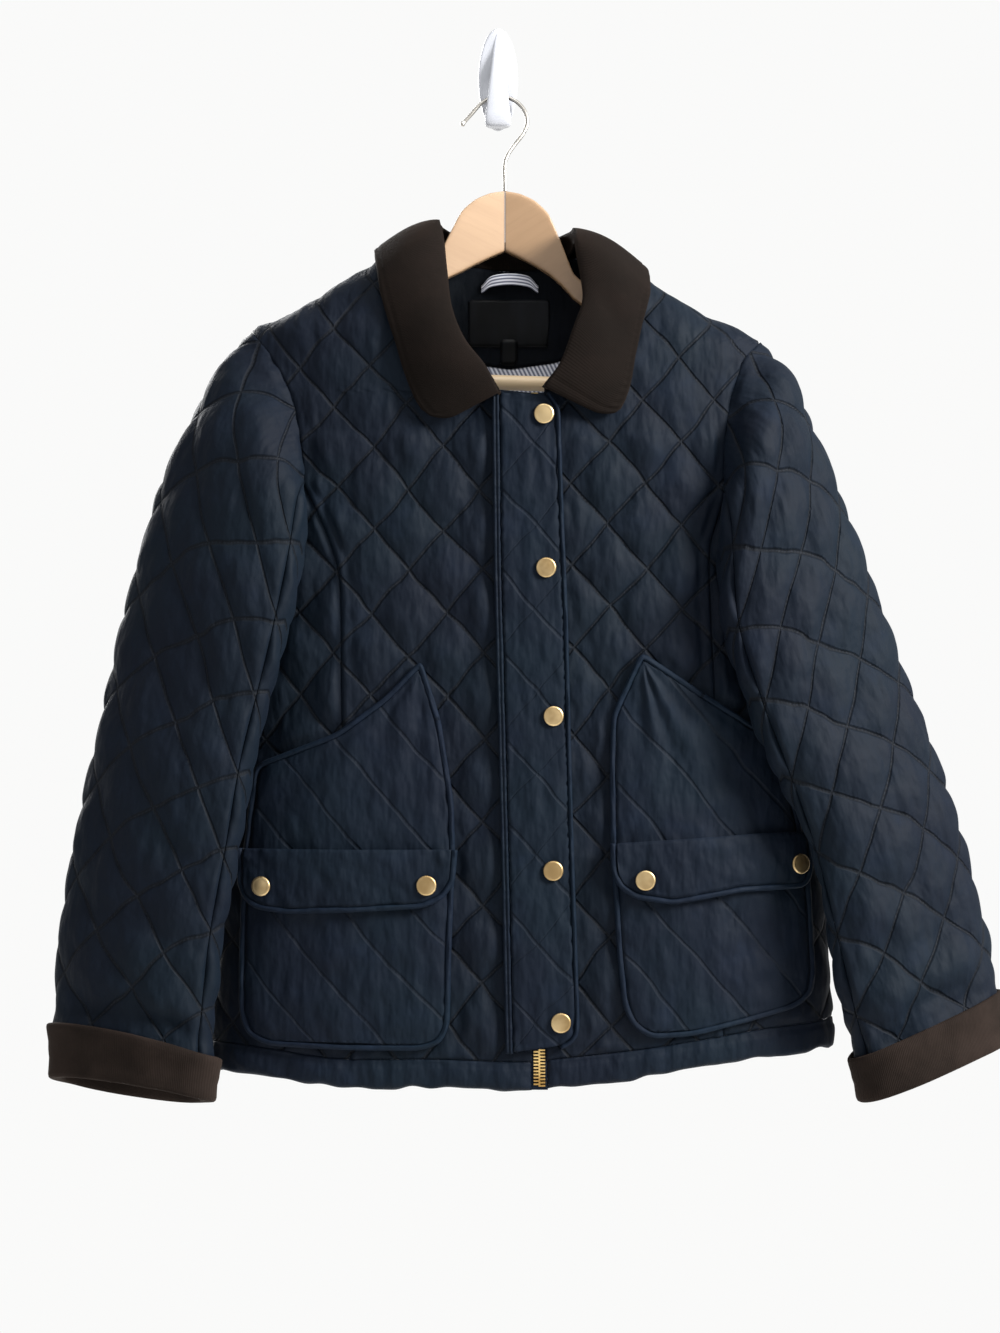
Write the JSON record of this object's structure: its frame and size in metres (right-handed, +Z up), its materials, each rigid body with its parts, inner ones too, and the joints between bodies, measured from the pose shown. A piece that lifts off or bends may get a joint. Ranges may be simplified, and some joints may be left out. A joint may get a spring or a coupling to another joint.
{
  "type": "quilted jacket on a wooden hanger and wall hook",
  "caption": "Hip-length diamond-quilted jacket with a corduroy collar and turned-back cuffs, snap placket and flap pockets, hung on a wooden hanger from a small wall hook.",
  "frame": {"origin": "centre of the wall hook's flat back face, on the wall", "axes": "+Y into the wall, +X to the right as the jacket is looked at, +Z up; the jacket lies on the -Y side"},
  "size_m": [0.7514, 0.1392, 0.8563],
  "materials": {
    "navy": "diamond-quilted dark navy nylon, matt with a faint sheen",
    "binding": "plain navy tape, slightly smoother than the quilting",
    "corduroy": "dark brown fine-wale corduroy",
    "lining": "smooth striped lining cloth, blue-grey and white",
    "label": "black satin",
    "brass": "antique brass",
    "steel": "polished steel wire",
    "wood": "light maple, thin satin varnish",
    "plastic": "white gloss"
  },
  "bodies": {
    "root": {"back": "navy", "collar": "corduroy", "cuff_left": "corduroy", "cuff_right": "corduroy", "flap_binding_left": "binding", "flap_binding_right": "binding", "flap_left": "navy", "flap_right": "navy", "front_left": "navy", "front_right": "navy", "front_side_left": "navy", "front_side_right": "navy", "hanger_arm_left": "wood", "hanger_arm_right": "wood", "hanger_bar": "wood", "hanger_wire": "steel", "hanging_loop": "lining", "hem_band_back": "navy", "hem_band_left": "navy", "hem_band_right": "navy", "lining_strip": "lining", "neck_facing": "navy", "neck_label": "label", "placket": "navy", "placket_binding": "binding", "placket_welt": "navy", "pocket_binding_left": "binding", "pocket_binding_right": "binding", "pocket_left": "navy", "pocket_right": "navy", "size_tab": "label", "sleeve_under_left": "navy", "sleeve_under_right": "navy", "sleeve_upper_left": "navy", "sleeve_upper_right": "navy", "snap_flap_left_1": "brass", "snap_flap_left_2": "brass", "snap_flap_right_1": "brass", "snap_flap_right_2": "brass", "snap_placket_1": "brass", "snap_placket_2": "brass", "snap_placket_3": "brass", "snap_placket_4": "brass", "snap_placket_5": "brass", "wall_hook": "plastic", "zip": "brass"}
  },
  "joints": []
}
